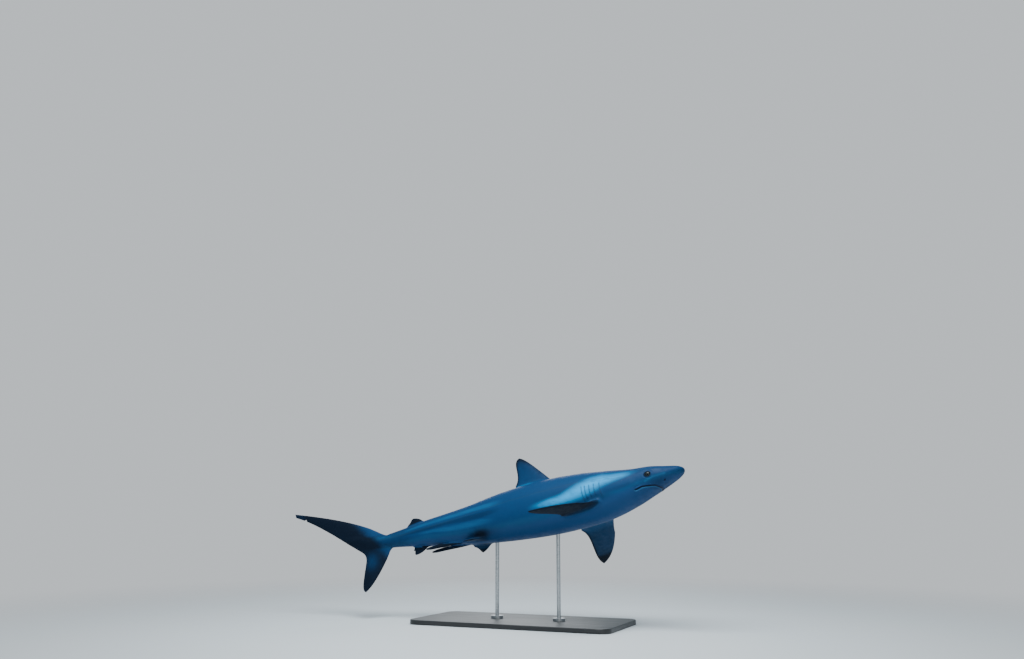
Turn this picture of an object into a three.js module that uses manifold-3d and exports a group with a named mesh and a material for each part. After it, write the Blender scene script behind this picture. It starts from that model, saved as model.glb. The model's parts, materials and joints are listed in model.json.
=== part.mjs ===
// A silky shark (Carcharhinus falciformis), adult male, as a life-size still model: swimming with its nose a
// little up, banked to its left, head and tail swung gently to its right, held by two rods over a flat base.
// Millimetres, +Z up. The shark heads along +X. The origin is the middle of the base's underside.
//
// The animal is first built in its own straight frame, in hundredths of its total length: "s" is the distance
// behind the snout tip, "y" is to its left and "z" is towards its back. Function place() turns these into
// millimetres and swings the head and the tail to the side.
import * as THREE from "three";
import { mergeVertices } from "three/addons/utils/BufferGeometryUtils.js";
import Module from "manifold-3d";

const wasm = await Module();
wasm.setup();
const { degToRad } = THREE.MathUtils;

// ---------------------------------------------------------------- driving dimensions
const TOTAL_LENGTH = 2300; // snout tip to the tip of the upper tail lobe
const UNIT = TOTAL_LENGTH / 100; // one hundredth of the length
const SEAM = 0.35; // gap left between neighbouring pieces, in mm
const BODY_SIDES = 32; // facets round the body
const BODY_RINGS = 41; // rings along the body

const NOSE_UP = degToRad(11.9);
const BANK_LEFT = degToRad(16.3);
const PIVOT_S = 40; // the station held over the base's middle
const PIVOT_HEIGHT = 560; // its height over the floor, in mm

const HEAD_SWING = 2.4; // how far the snout tip is carried to the right
const HEAD_SWING_FROM = 35; // station where the swing of the head begins
const TAIL_SWING = 7.5; // how far the tail tip is carried to the right
const TAIL_SWING_FROM = 40; // station where the swing of the tail begins

// Body sections from the snout to the tail root: height of the back, depth of the belly and half width, and
// how square the section is above and below (2 is an ellipse).
const SECTIONS = [
  { s: 0.0, back: 0.55, belly: 0.55, half: 0.0, above: 2.0, below: 2.0 }, // snout tip
  { s: 1.0, back: 1.45, belly: -0.5, half: 1.7, above: 2.0, below: 2.1 },
  { s: 4.0, back: 2.25, belly: -1.6, half: 2.95, above: 2.0, below: 2.3 }, // nostrils
  { s: 7.5, back: 3.1, belly: -2.75, half: 3.8, above: 2.1, below: 2.3 }, // eyes
  { s: 12.0, back: 3.7, belly: -4.25, half: 4.35, above: 2.1, below: 2.3 }, // behind the mouth
  { s: 18.0, back: 4.85, belly: -5.6, half: 5.1, above: 2.1, below: 2.3 }, // first gill slit
  { s: 25.0, back: 5.95, belly: -6.1, half: 5.6, above: 2.1, below: 2.3 }, // pectoral fins
  { s: 34.0, back: 6.5, belly: -6.05, half: 5.7, above: 2.1, below: 2.3 }, // first dorsal fin
  { s: 44.0, back: 6.05, belly: -5.35, half: 5.1, above: 2.1, below: 2.2 },
  { s: 54.0, back: 4.65, belly: -4.2, half: 3.95, above: 2.1, below: 2.2 }, // pelvic fins
  { s: 65.0, back: 3.45, belly: -2.65, half: 2.6, above: 2.1, below: 2.1 }, // second dorsal fin
  { s: 71.5, back: 2.4, belly: -1.75, half: 1.65, above: 2.0, below: 2.0 },
  { s: 75.5, back: 1.85, belly: -1.35, half: 1.25, above: 2.0, below: 2.0 }, // tail root
  { s: 80.0, back: 1.75, belly: -0.65, half: 0.7, above: 2.0, below: 2.0 },
  { s: 83.0, back: 2.2, belly: 0.9, half: 0.3, above: 2.0, below: 2.0 }, // end, inside the tail fin
];
const HEAD_END = 16.3; // seam between the head and the gill region
const GILLS_END = 24; // seam between the gill region and the trunk
const TRUNK_END = 57.5; // seam between the trunk and the tail stalk

const MOUTH_FRONT = 5.75; // station of the lower jaw's front
const MOUTH_GAPE = 2.0; // open gap between the lips, in mm
const LIP_LINE = -2.02; // height of the mouth line, from the front to where it starts to sink
const LIP_LINE_END = 9.2;
const JAW_SEAM = [
  { s: 10.8, z: -2.4 }, // corner of the mouth
  { s: 12.2, z: -3.5 },
  { s: 13.6, z: -5.2 }, // throat
];
// Half sizes and bulge in mm.
const EYE = { s: 7.5, z: 0.34, along: 17, up: 15, deep: 9.5, out: 3.2 };
// Half sizes in mm. It runs outwards and a little forwards.
const NOSTRIL = { s: 4.2, y: 2.05, z: -1.32, long: 10, wide: 4, deep: 5, splay: 52 };
const GILL_SLITS = [18.4, 19.7, 20.8, 21.8, 22.6]; // stations of the five slits
const GILL_SLIT = { top: 0.8, bottom: -2.3, lean: 0.2, deep: 6, wide: 3 }; // deep and wide in mm
const BEYOND = 20; // reach of a cutting block past the body, in hundredths of the length

// A clasper's stations, from under the belly to its tip.
const CLASPER = [
  { s: 52.5, y: 1.15, z: -3.65, radius: 0.4 },
  { s: 55.0, y: 1.15, z: -3.75, radius: 0.44 },
  { s: 58.0, y: 1.2, z: -3.75, radius: 0.46 },
  { s: 61.0, y: 1.28, z: -3.8, radius: 0.43 },
  { s: 63.2, y: 1.36, z: -3.92, radius: 0.33 },
  { s: 64.4, y: 1.42, z: -4.0, radius: 0.15 },
];
const CLASPER_SIDES = 10;

const BASE_LONG = 1100; // the stand, in mm
const BASE_WIDE = 520;
const BASE_THICK = 24;
const BASE_CORNER = 60;
const BASE_BEVEL = 3;
const ROD_RADIUS = 10;
const ROD_STATIONS = { front: 31, rear: 46.5 }; // body stations that stand over the rods
const COLLAR_RADIUS = 32;
const COLLAR_THICK = 14;

// ---------------------------------------------------------------- solids from meshes
function solid(geometry) {
  const bare = geometry.clone();
  bare.deleteAttribute("normal");
  bare.deleteAttribute("uv");
  const merged = mergeVertices(bare, 1e-3);
  return new wasm.Manifold(
    new wasm.Mesh({
      numProp: 3,
      vertProperties: merged.attributes.position.array,
      triVerts: new Uint32Array(merged.index.array),
    }),
  );
}

function geometryOf(manifold) {
  const mesh = manifold.getMesh();
  const positions = new Float32Array(mesh.numVert * 3);
  for (let i = 0; i < mesh.numVert; i++) {
    positions.set(mesh.vertProperties.subarray(i * mesh.numProp, i * mesh.numProp + 3), i * 3);
  }
  const geometry = new THREE.BufferGeometry();
  geometry.setAttribute("position", new THREE.BufferAttribute(positions, 3));
  geometry.setIndex(new THREE.BufferAttribute(new Uint32Array(mesh.triVerts), 1));
  geometry.computeVertexNormals();
  return geometry;
}

// A closed skin over rings of equal count, capped at both ends, facing out whichever way the rings run.
function loft(rings) {
  const around = rings[0].length;
  const points = rings.flat();
  const triangles = [];
  for (let r = 0; r + 1 < rings.length; r++) {
    for (let k = 0; k < around; k++) {
      const a = r * around + k;
      const b = r * around + ((k + 1) % around);
      triangles.push([a, b, b + around], [a, b + around, a + around]);
    }
  }
  const caps = [
    [rings[0], 0, true],
    [rings.at(-1), (rings.length - 1) * around, false],
  ];
  for (const [ring, first, reversed] of caps) {
    const middle = ring.reduce((sum, p) => sum.add(p), new THREE.Vector3()).divideScalar(around);
    const centre = points.push(middle) - 1;
    for (let k = 0; k < around; k++) {
      const [a, b] = [first + k, first + ((k + 1) % around)];
      triangles.push(reversed ? [centre, b, a] : [centre, a, b]);
    }
  }
  const volume = triangles.reduce(
    (sum, [a, b, c]) => sum + points[a].dot(points[b].clone().cross(points[c])),
    0,
  );
  const facingOut = volume > 0 ? triangles : triangles.map(([a, b, c]) => [a, c, b]);
  const geometry = new THREE.BufferGeometry().setFromPoints(points);
  geometry.setIndex(facingOut.flat());
  return solid(geometry);
}

// ---------------------------------------------------------------- the body's shape
// A smooth curve through the sections. It runs over the square root of s, which rounds the snout.
function sectionValue(name, s) {
  const at = (i) => Math.sqrt(SECTIONS[i].s);
  const value = (i) => SECTIONS[i][name];
  const last = SECTIONS.length - 1;
  const slope = (i) => {
    const a = Math.max(i - 1, 0);
    const b = Math.min(i + 1, last);
    return (value(b) - value(a)) / (at(b) - at(a));
  };
  const q = Math.sqrt(THREE.MathUtils.clamp(s, 0, SECTIONS[last].s));
  let i = 0;
  while (i < last - 1 && q > at(i + 1)) i++;
  const span = at(i + 1) - at(i);
  const t = (q - at(i)) / span;
  const [t2, t3] = [t * t, t * t * t];
  return (
    value(i) * (2 * t3 - 3 * t2 + 1) +
    slope(i) * span * (t3 - 2 * t2 + t) +
    value(i + 1) * (3 * t2 - 2 * t3) +
    slope(i + 1) * span * (t3 - t2)
  );
}

// How far the midline is carried to the right at station s.
function swing(s) {
  const head = Math.max(HEAD_SWING_FROM - s, 0) / HEAD_SWING_FROM;
  const tail = Math.max(s - TAIL_SWING_FROM, 0) / (100 - TAIL_SWING_FROM);
  return HEAD_SWING * head ** 2 + TAIL_SWING * tail ** 2;
}

function place(s, y, z) {
  return new THREE.Vector3(UNIT * (PIVOT_S - s), UNIT * (y - swing(s)), UNIT * z);
}

// The skin at station s, at an angle counted from the back down the animal's left side.
function skinPoint(s, angle, grow = 0) {
  const back = sectionValue("back", s) + grow;
  const belly = sectionValue("belly", s) - grow;
  const half = sectionValue("half", s) + grow;
  const [across, up] = [Math.sin(angle), Math.cos(angle)];
  const power = 2 / sectionValue(up > 0 ? "above" : "below", s);
  const y = half * Math.sign(across) * Math.abs(across) ** power;
  const z = (back + belly) / 2 + ((back - belly) / 2) * Math.sign(up) * Math.abs(up) ** power;
  return place(s, y, z);
}

// The whole body as one solid, made larger or smaller all round by "grow" millimetres.
function bodySolid(grow = 0) {
  const [first, end] = [0.02, SECTIONS.at(-1).s];
  const rings = [];
  for (let i = 0; i <= BODY_RINGS; i++) {
    const s = first + (end - first) * (i / BODY_RINGS) ** 1.35;
    const angles = Array.from({ length: BODY_SIDES }, (_, k) => (2 * Math.PI * k) / BODY_SIDES);
    const ring = angles.map((angle) => skinPoint(s, angle, grow / UNIT));
    rings.push(ring);
  }
  return loft(rings);
}

// A cutting block through the given stations. It reaches past the body all round, up to a roof that may slope.
function block(stations, roof = () => BEYOND) {
  const corners = (s) => [
    place(s, -BEYOND, -BEYOND),
    place(s, BEYOND, -BEYOND),
    place(s, BEYOND, roof(s)),
    place(s, -BEYOND, roof(s)),
  ];
  return loft(stations.map(corners));
}

// ---------------------------------------------------------------- fins
// A fin is a foil between a leading and a trailing edge. Both are cubic curves from the body to the tip in the
// fin's own plane, s backwards and h outwards. "root" holds the front and rear of its first section, which is
// buried in the body, so that a rear corner behind it hangs free. "onto" places a point of the plane, a little
// to one side of it.
const curve = (...points) => new THREE.CubicBezierCurve(...points.map(([s, h]) => new THREE.Vector2(s, h)));
const EDGE = 0.07; // half the thickness of a trailing edge
const OUTERMOST = 0.996; // where the last section lies between the root and the tip

function finSolid({ root, leading, trailing, rootThick, tipThick, onto, chordSteps = 6, spanSteps = 9 }) {
  const chord = Array.from({ length: chordSteps }, (_, i) => ((i + 1) / chordSteps) ** 1.5);
  const section = (front, rear, thick) => {
    const at = (c, side) => {
      const foil = (1.98 * Math.sqrt(c) - 1.26 * c - 0.72 * c ** 2) / 1.02;
      const point = front.clone().lerp(rear, c);
      return onto(point.x, point.y, side * ((thick * foil) / 2 + EDGE * Math.sqrt(c)));
    };
    const leftSide = chord.map((c) => at(c, 1));
    const rightSide = chord.map((c) => at(c, -1)).reverse();
    return [at(0, 0), ...leftSide, ...rightSide];
  };
  const [rootFront, rootRear] = root.map(([s, h]) => new THREE.Vector2(s, h));
  const rings = [section(rootFront, rootRear, rootThick)];
  for (let j = 0; j <= spanSteps; j++) {
    const v = OUTERMOST * Math.sin((Math.PI / 2) * (j / spanSteps));
    const thick = THREE.MathUtils.lerp(rootThick, tipThick, v) * Math.sqrt(1 - v ** 6);
    rings.push(section(leading.getPoint(v), trailing.getPoint(v), thick));
  }
  return loft(rings);
}

// The plane of a fin that stands on the midline.
const upright = (s, h, side) => place(s, side, h);

// The plane of a paired fin: it leaves the body at (rootY, rootZ) and droops outwards. "tilt" lifts its front
// and lowers its rear, about the station "level".
function drooping({ hand, rootY, rootZ, droop, tilt = 0, level = 0 }) {
  const [out, down] = [Math.cos(degToRad(droop)), Math.sin(degToRad(droop))];
  const slope = Math.tan(degToRad(tilt));
  return (s, h, side) => {
    const z = rootZ - h * down + side * out - (s - level) * slope;
    return place(s, hand * (rootY + h * out + side * down), z);
  };
}

const firstDorsal = () =>
  finSolid({
    root: [[31.6, 5.0], [39.4, 5.2]],
    leading: curve([31.0, 6.0], [33.6, 8.0], [37.6, 13.4], [39.7, 14.0]),
    trailing: curve([42.0, 6.6], [38.6, 8.6], [42.3, 13.2], [39.7, 14.0]),
    rootThick: 1.7,
    tipThick: 0.5,
    onto: upright,
  });

const secondDorsal = () =>
  finSolid({
    root: [[65.0, 2.4], [69.0, 2.0]],
    leading: curve([64.8, 3.0], [66.2, 4.2], [67.2, 4.75], [68.4, 4.75]),
    trailing: curve([71.0, 2.95], [68.6, 3.4], [69.4, 4.55], [68.4, 4.75]),
    rootThick: 0.6,
    tipThick: 0.3,
    onto: upright,
    spanSteps: 6,
  });

const analFin = () =>
  finSolid({
    root: [[63.9, -2.0], [67.4, -1.5]],
    leading: curve([63.6, -2.3], [65.2, -3.4], [66.2, -4.35], [67.7, -4.4]),
    trailing: curve([69.3, -3.4], [67.0, -2.9], [68.7, -4.2], [67.7, -4.4]),
    rootThick: 0.6,
    tipThick: 0.3,
    onto: upright,
    spanSteps: 6,
  });

const pectoralFin = (hand) =>
  finSolid({
    root: [[19.5, -1.6], [26.2, -1.6]],
    leading: curve([18.7, 0], [21.3, 6.2], [24.3, 15.6], [29.0, 18.1]),
    trailing: curve([28.6, 1.3], [25.6, 3.7], [30.7, 14.4], [29.0, 18.1]),
    rootThick: 1.35,
    tipThick: 0.4,
    onto: drooping({ hand, rootY: 4.0, rootZ: -4.0, droop: 11.7, tilt: 9, level: 25 }),
    spanSteps: 11,
  });

const pelvicFin = (hand) =>
  finSolid({
    root: [[47.4, -1.2], [52.2, -1.0]],
    leading: curve([47.0, -0.3], [49.4, 0.8], [51.4, 3.0], [53.0, 3.65]),
    trailing: curve([55.0, 0.9], [52.6, 1.2], [53.7, 3.2], [53.0, 3.65]),
    rootThick: 0.7,
    tipThick: 0.3,
    onto: drooping({ hand, rootY: 1.6, rootZ: -3.9, droop: 20 }),
    spanSteps: 6,
  });

// The upper lobe of the tail ends square. A small notch is cut in its rear edge a little before the tip.
function upperTailLobe() {
  const lobe = finSolid({
    root: [[75.3, 0.6], [80.6, -1.6]],
    leading: curve([74.8, 1.3], [81.5, 5.8], [90.6, 8.75], [100, 11.1]),
    trailing: curve([81.0, -2.4], [87.0, 2.3], [94.6, 8.1], [99.6, 10.1]),
    rootThick: 1.7,
    tipThick: 0.3,
    onto: upright,
    spanSteps: 12,
  });
  const corners = [
    [96.8, 9.35],
    [97.9, 8.7],
    [96.4, 7.6],
  ];
  const notch = loft([-2, 2].map((y) => corners.map(([s, z]) => place(s, y, z))));
  return lobe.subtract(notch);
}

const lowerTailLobe = () =>
  finSolid({
    root: [[74.2, 0.0], [80.4, 0.2]],
    leading: curve([73.6, -0.6], [75.2, -4.0], [78.2, -9.8], [80.7, -11.35]),
    trailing: curve([81.3, -0.6], [79.8, -4.6], [82.6, -10.5], [80.7, -11.35]),
    rootThick: 1.5,
    tipThick: 0.4,
    onto: upright,
  });

// A clasper is a round rod that trails from the inner edge of each pelvic fin.
function clasper(hand) {
  const rings = CLASPER.map(({ s, y, z, radius }) =>
    Array.from({ length: CLASPER_SIDES }, (_, k) => {
      const angle = (2 * Math.PI * k) / CLASPER_SIDES;
      return place(s, hand * y + radius * Math.sin(angle), z + radius * Math.cos(angle));
    }),
  );
  return loft(rings);
}

// ---------------------------------------------------------------- eyes, nostrils, mouth and gill slits
// An ellipsoid with the given half sizes along, across and up, in millimetres, turned about the upright.
function ellipsoid(centre, along, across, up, turn) {
  const geometry = new THREE.SphereGeometry(1, 16, 9);
  geometry.scale(along, across, up);
  geometry.rotateZ(turn);
  geometry.translate(centre.x, centre.y, centre.z);
  return solid(geometry);
}

// The eye lies flat in the side of the head, which narrows towards the snout.
function eyeSolid(hand, grow = 0) {
  const flank = (s) => place(s, hand * sectionValue("half", s), EYE.z);
  const forwards = flank(EYE.s - 0.5).sub(flank(EYE.s + 0.5));
  const turn = Math.atan2(forwards.y, forwards.x);
  const sunk = hand * (EYE.deep - EYE.out);
  const centre = flank(EYE.s).add(new THREE.Vector3(Math.sin(turn) * sunk, -Math.cos(turn) * sunk, 0));
  return ellipsoid(centre, EYE.along + grow, EYE.deep + grow, EYE.up + grow, turn);
}

function nostril(hand) {
  const geometry = new THREE.SphereGeometry(1, 12, 6);
  geometry.scale(NOSTRIL.long, NOSTRIL.wide, NOSTRIL.deep);
  geometry.rotateZ(degToRad(hand * NOSTRIL.splay));
  const centre = place(NOSTRIL.s, hand * NOSTRIL.y, NOSTRIL.z);
  geometry.translate(centre.x, centre.y, centre.z);
  return solid(geometry);
}

// Everything below the mouth line, "open" millimetres larger along the lips. The line starts at the front of
// the lower jaw, sinks at the corners of the mouth and then follows the jaw down to the throat.
function belowMouth(open) {
  const stations = [MOUTH_FRONT - open / UNIT, LIP_LINE_END, ...JAW_SEAM.map((point) => point.s)];
  const seamAt = (s) => JAW_SEAM.find((point) => point.s === s)?.z ?? LIP_LINE + open / UNIT;
  return block(stations, (s) => seamAt(s) + Math.min(open, SEAM) / UNIT);
}

// A thin slab across the body where two gill slits lie, its top leaning backwards.
function gillSlit(s) {
  const half = GILL_SLIT.wide / 2 / UNIT;
  const layer = (at, z) => [
    place(at - half, -BEYOND, z),
    place(at - half, BEYOND, z),
    place(at + half, BEYOND, z),
    place(at + half, -BEYOND, z),
  ];
  const { top, bottom, lean } = GILL_SLIT;
  return loft([layer(s - lean, bottom), layer(s + lean, top)]);
}

// ---------------------------------------------------------------- putting the shark together
const hide = new THREE.MeshStandardMaterial({ color: 0x4f6f7c, roughness: 0.45, metalness: 0 });
const finHide = new THREE.MeshStandardMaterial({ color: 0x43606c, roughness: 0.5, metalness: 0 });
const tailHide = new THREE.MeshStandardMaterial({ color: 0x33474f, roughness: 0.5, metalness: 0 });
const paleHide = new THREE.MeshStandardMaterial({ color: 0xb9c2c2, roughness: 0.5, metalness: 0 });
const eyeGlass = new THREE.MeshStandardMaterial({ color: 0x101312, roughness: 0.08, metalness: 0 });
const blackPaint = new THREE.MeshStandardMaterial({ color: 0x1c1c1d, roughness: 0.5, metalness: 0 });
const steel = new THREE.MeshStandardMaterial({ color: 0xa9abad, roughness: 0.3, metalness: 1 });

const model = new THREE.Group();
const shark = new THREE.Group();
shark.rotation.set(-BANK_LEFT, -NOSE_UP, 0, "ZYX");
shark.position.set(0, 0, PIVOT_HEIGHT);
shark.updateMatrix();
model.add(shark);

function piece(parent, name, manifold, material) {
  const mesh = new THREE.Mesh(geometryOf(manifold), material.clone());
  mesh.name = name;
  parent.add(mesh);
}

const HANDS = { left: 1, right: -1 };
const halfSeam = SEAM / UNIT / 2;
const body = bodySolid();
const clearOfBody = bodySolid(SEAM);

// Head and lower jaw, with the eye sockets, the nostrils and the mouth cut out.
let head = body.intersect(block([-1, HEAD_END - halfSeam])).subtract(belowMouth(MOUTH_GAPE));
for (const hand of Object.values(HANDS)) {
  head = head.subtract(eyeSolid(hand, SEAM)).subtract(nostril(hand));
}
piece(shark, "head", head, hide);
piece(shark, "lower_jaw", body.intersect(belowMouth(0)), paleHide);
for (const [side, hand] of Object.entries(HANDS)) {
  piece(shark, `eye_${side}`, eyeSolid(hand), eyeGlass);
}

// Gill region with five slits on each side.
let gills = body.intersect(block([HEAD_END + halfSeam, GILLS_END - halfSeam]));
const underSkin = bodySolid(-GILL_SLIT.deep);
for (const s of GILL_SLITS) {
  gills = gills.subtract(gillSlit(s).subtract(underSkin));
}
piece(shark, "gill_region", gills, hide);

// Trunk and tail stalk.
piece(shark, "trunk", body.intersect(block([GILLS_END + halfSeam, TRUNK_END - halfSeam])), hide);
piece(shark, "tail_stalk", body.intersect(block([TRUNK_END + halfSeam, 100])), hide);

// Fins and claspers.
piece(shark, "first_dorsal_fin", firstDorsal().subtract(clearOfBody), finHide);
piece(shark, "second_dorsal_fin", secondDorsal().subtract(clearOfBody), finHide);
piece(shark, "anal_fin", analFin().subtract(clearOfBody), finHide);
for (const [side, hand] of Object.entries(HANDS)) {
  piece(shark, `pectoral_fin_${side}`, pectoralFin(hand).subtract(clearOfBody), finHide);
  piece(shark, `pelvic_fin_${side}`, pelvicFin(hand).subtract(clearOfBody), finHide);
  piece(shark, `clasper_${side}`, clasper(hand).subtract(clearOfBody), paleHide);
}
const upperLobe = upperTailLobe();
piece(shark, "tail_fin_upper_lobe", upperLobe.subtract(clearOfBody), tailHide);
piece(shark, "tail_fin_lower_lobe", lowerTailLobe().subtract(clearOfBody).subtract(upperLobe), tailHide);

// ---------------------------------------------------------------- the stand
function roundedPlate(long, wide, thick, corner, bevel) {
  const [x, y] = [long / 2 - bevel, wide / 2 - bevel];
  const r = corner - bevel;
  const shape = new THREE.Shape();
  shape.absarc(x - r, y - r, r, 0, Math.PI / 2);
  shape.absarc(-x + r, y - r, r, Math.PI / 2, Math.PI);
  shape.absarc(-x + r, -y + r, r, Math.PI, Math.PI * 1.5);
  shape.absarc(x - r, -y + r, r, Math.PI * 1.5, Math.PI * 2);
  const geometry = new THREE.ExtrudeGeometry(shape, {
    depth: thick - 2 * bevel,
    curveSegments: 6,
    bevelThickness: bevel,
    bevelSize: bevel,
    bevelSegments: 1,
  });
  geometry.translate(0, 0, bevel);
  return solid(geometry);
}

function uprightCylinder(x, radius, from, to, sides, bore = 0) {
  const outer = new THREE.CylinderGeometry(radius, radius, to - from, sides);
  outer.rotateX(Math.PI / 2);
  outer.translate(x, 0, (from + to) / 2);
  if (bore === 0) return solid(outer);
  return solid(outer).subtract(uprightCylinder(x, bore, from - 5, to + 5, sides));
}

piece(model, "stand_base", roundedPlate(BASE_LONG, BASE_WIDE, BASE_THICK, BASE_CORNER, BASE_BEVEL), blackPaint);
const sharkInPlace = clearOfBody.transform(shark.matrix.elements);
for (const [end, s] of Object.entries(ROD_STATIONS)) {
  const middle = place(s, 0, 0).applyMatrix4(shark.matrix);
  const rod = uprightCylinder(middle.x, ROD_RADIUS, BASE_THICK + SEAM, middle.z, 20);
  const top = BASE_THICK + SEAM + COLLAR_THICK;
  const collar = uprightCylinder(middle.x, COLLAR_RADIUS, BASE_THICK + SEAM, top, 24, ROD_RADIUS + SEAM);
  piece(model, `stand_rod_${end}`, rod.subtract(sharkInPlace), steel);
  piece(model, `stand_collar_${end}`, collar, steel);
}

export default model;
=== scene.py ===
# %% [markdown]
# # A silky shark, dressed for the museum floor
# The plain solids of the model are already made. Here the flesh gets one unbroken skin, the eyes get irises
# and a wet surface, and the stand gets paint and steel. Each step is a short text followed by its cell.
#
# The first cell loads the solids. They stay where they are, and everything new is fitted to them.

# %% Load the solids and note their box
import json
import math

import bpy
import numpy as np
from mathutils import Matrix, Vector

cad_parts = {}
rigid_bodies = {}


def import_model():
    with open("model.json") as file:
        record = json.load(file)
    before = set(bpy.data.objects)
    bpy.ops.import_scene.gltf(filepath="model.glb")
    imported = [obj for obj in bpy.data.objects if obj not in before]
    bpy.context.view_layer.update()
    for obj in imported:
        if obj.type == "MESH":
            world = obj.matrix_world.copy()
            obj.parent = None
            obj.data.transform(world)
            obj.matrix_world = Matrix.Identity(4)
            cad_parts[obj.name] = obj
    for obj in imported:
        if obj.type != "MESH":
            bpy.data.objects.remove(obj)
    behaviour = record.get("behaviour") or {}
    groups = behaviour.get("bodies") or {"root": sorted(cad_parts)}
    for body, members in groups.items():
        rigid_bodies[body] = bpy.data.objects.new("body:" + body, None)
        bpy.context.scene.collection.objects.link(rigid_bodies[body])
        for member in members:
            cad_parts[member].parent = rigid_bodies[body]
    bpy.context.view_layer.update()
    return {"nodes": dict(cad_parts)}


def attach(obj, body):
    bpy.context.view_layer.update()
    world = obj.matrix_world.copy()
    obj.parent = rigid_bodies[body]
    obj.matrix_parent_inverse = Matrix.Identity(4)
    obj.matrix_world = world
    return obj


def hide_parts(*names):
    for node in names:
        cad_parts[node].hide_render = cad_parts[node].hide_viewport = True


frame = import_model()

# %% [markdown]
# ## Camera, floor and light
# A swimming animal is best seen from a little below, so the camera stands low beside the stand and tilts up.
# The floor is a wide pale disc that fades into the pale surroundings, so that no horizon line cuts the animal.
# One broad lamp hangs over the back, as daylight falls through water, and two weaker ones open the shadows.

# %% Camera
CAMERA_PLACE = (1.92228, -4.51752, 0.52693)
CAMERA_TURN = (math.radians(102), 0, math.radians(23.7))
bpy.ops.object.camera_add(location=CAMERA_PLACE, rotation=CAMERA_TURN)
camera = bpy.context.object
camera.name = "camera"
camera.data.sensor_fit = "HORIZONTAL"
camera.data.sensor_width = 36
camera.data.lens = 31.64
bpy.context.scene.camera = camera
print("camera", round(camera.location.length, 2), "m from the middle of the stand")


# %% Helpers for node trees
def fresh_material(name):
    material = bpy.data.materials.new(name)
    material.use_nodes = True
    return material, material.node_tree.nodes["Principled BSDF"]


def node(material, kind, **settings):
    """A new node. Settings named after a socket set it, and the others set the node itself."""
    made = material.node_tree.nodes.new(kind)
    for name, value in settings.items():
        if hasattr(made, name):
            setattr(made, name, value)
        else:
            made.inputs[name.replace("_", " ")].default_value = value
    return made


def link(material, source, target):
    material.node_tree.links.new(source, target)


def maths(material, operation, first, second=0.0, clamp=False):
    made = node(material, "ShaderNodeMath", operation=operation, use_clamp=clamp)
    for socket, value in zip(made.inputs, (first, second)):
        if isinstance(value, (int, float)):
            socket.default_value = value
        else:
            link(material, value, socket)
    return made.outputs[0]


def mix(material, share, first, second):
    """The first colour, turned into the second one by share."""
    made = node(material, "ShaderNodeMix", data_type="RGBA")
    for socket, value in zip((made.inputs[0], made.inputs[6], made.inputs[7]), (share, first, second)):
        if isinstance(value, (int, float)):
            socket.default_value = value
        elif isinstance(value, tuple):
            socket.default_value = (*value, 1)
        else:
            link(material, value, socket)
    return made.outputs[2]


def noise(material, scale, detail=3.0, roughness=0.55, stretch=(1, 1, 1)):
    """Noise over the object's own coordinates, with lumps about 1/scale metres across."""
    place = node(material, "ShaderNodeTexCoord").outputs["Object"]
    if stretch != (1, 1, 1):
        mapping = node(material, "ShaderNodeMapping", Scale=stretch)
        link(material, place, mapping.inputs["Vector"])
        place = mapping.outputs["Vector"]
    made = node(material, "ShaderNodeTexNoise", Scale=scale, Detail=detail, Roughness=roughness)
    link(material, place, made.inputs["Vector"])
    return made.outputs["Fac"]


def spread(material, value, low, high, to_low=0.0, to_high=1.0):
    made = node(material, "ShaderNodeMapRange", interpolation_type="SMOOTHSTEP")
    link(material, value, made.inputs["Value"])
    for name, number in {"From Min": low, "From Max": high, "To Min": to_low, "To Max": to_high}.items():
        made.inputs[name].default_value = number
    return made.outputs["Result"]


def roughen(material, shader, height, distance, strength=1.0):
    made = node(material, "ShaderNodeBump", Distance=distance, Strength=strength)
    link(material, height, made.inputs["Height"])
    link(material, made.outputs["Normal"], shader.inputs["Normal"])
    return made


# %% Floor
bpy.ops.object.select_all(action="DESELECT")
bpy.ops.mesh.primitive_circle_add(vertices=128, radius=9, fill_type="NGON")
floor = bpy.context.object
floor.name = "floor"
paint, shader = fresh_material("pale_floor")
shader.inputs["Base Color"].default_value = (0.70, 0.73, 0.75, 1)
shader.inputs["Roughness"].default_value = 0.9
far = node(paint, "ShaderNodeVectorMath", operation="LENGTH")
link(paint, node(paint, "ShaderNodeTexCoord").outputs["Object"], far.inputs[0])
link(paint, spread(paint, far.outputs["Value"], 0.9, 4.5, 1.0, 0.0), shader.inputs["Alpha"])
floor.data.materials.append(paint)
print("floor", round(floor.dimensions.x, 1), "m across")

# %% Surroundings and lamps
world = bpy.data.worlds.new("pale_room")
world.use_nodes = True
tree = world.node_tree
soft_light = tree.nodes["Background"]
soft_light.inputs["Color"].default_value = (0.58, 0.71, 0.80, 1)
soft_light.inputs["Strength"].default_value = 0.55
seen_wall = tree.nodes.new("ShaderNodeBackground")
seen_wall.inputs["Color"].default_value = (0.66, 0.70, 0.73, 1)
seen_wall.inputs["Strength"].default_value = 1.0
chosen = tree.nodes.new("ShaderNodeMixShader")
tree.links.new(tree.nodes.new("ShaderNodeLightPath").outputs["Is Camera Ray"], chosen.inputs[0])
tree.links.new(soft_light.outputs[0], chosen.inputs[1])
tree.links.new(seen_wall.outputs[0], chosen.inputs[2])
tree.links.new(chosen.outputs[0], tree.nodes["World Output"].inputs["Surface"])
bpy.context.scene.world = world


def lamp(name, place, aim, size, watts, tint):
    turn = (Vector(aim) - Vector(place)).to_track_quat("-Z", "Y").to_euler()
    bpy.ops.object.light_add(type="AREA", location=place, rotation=turn)
    made = bpy.context.object
    made.name = name
    made.data.shape = "DISK"
    made.data.size, made.data.energy, made.data.color = size, watts, tint


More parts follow.
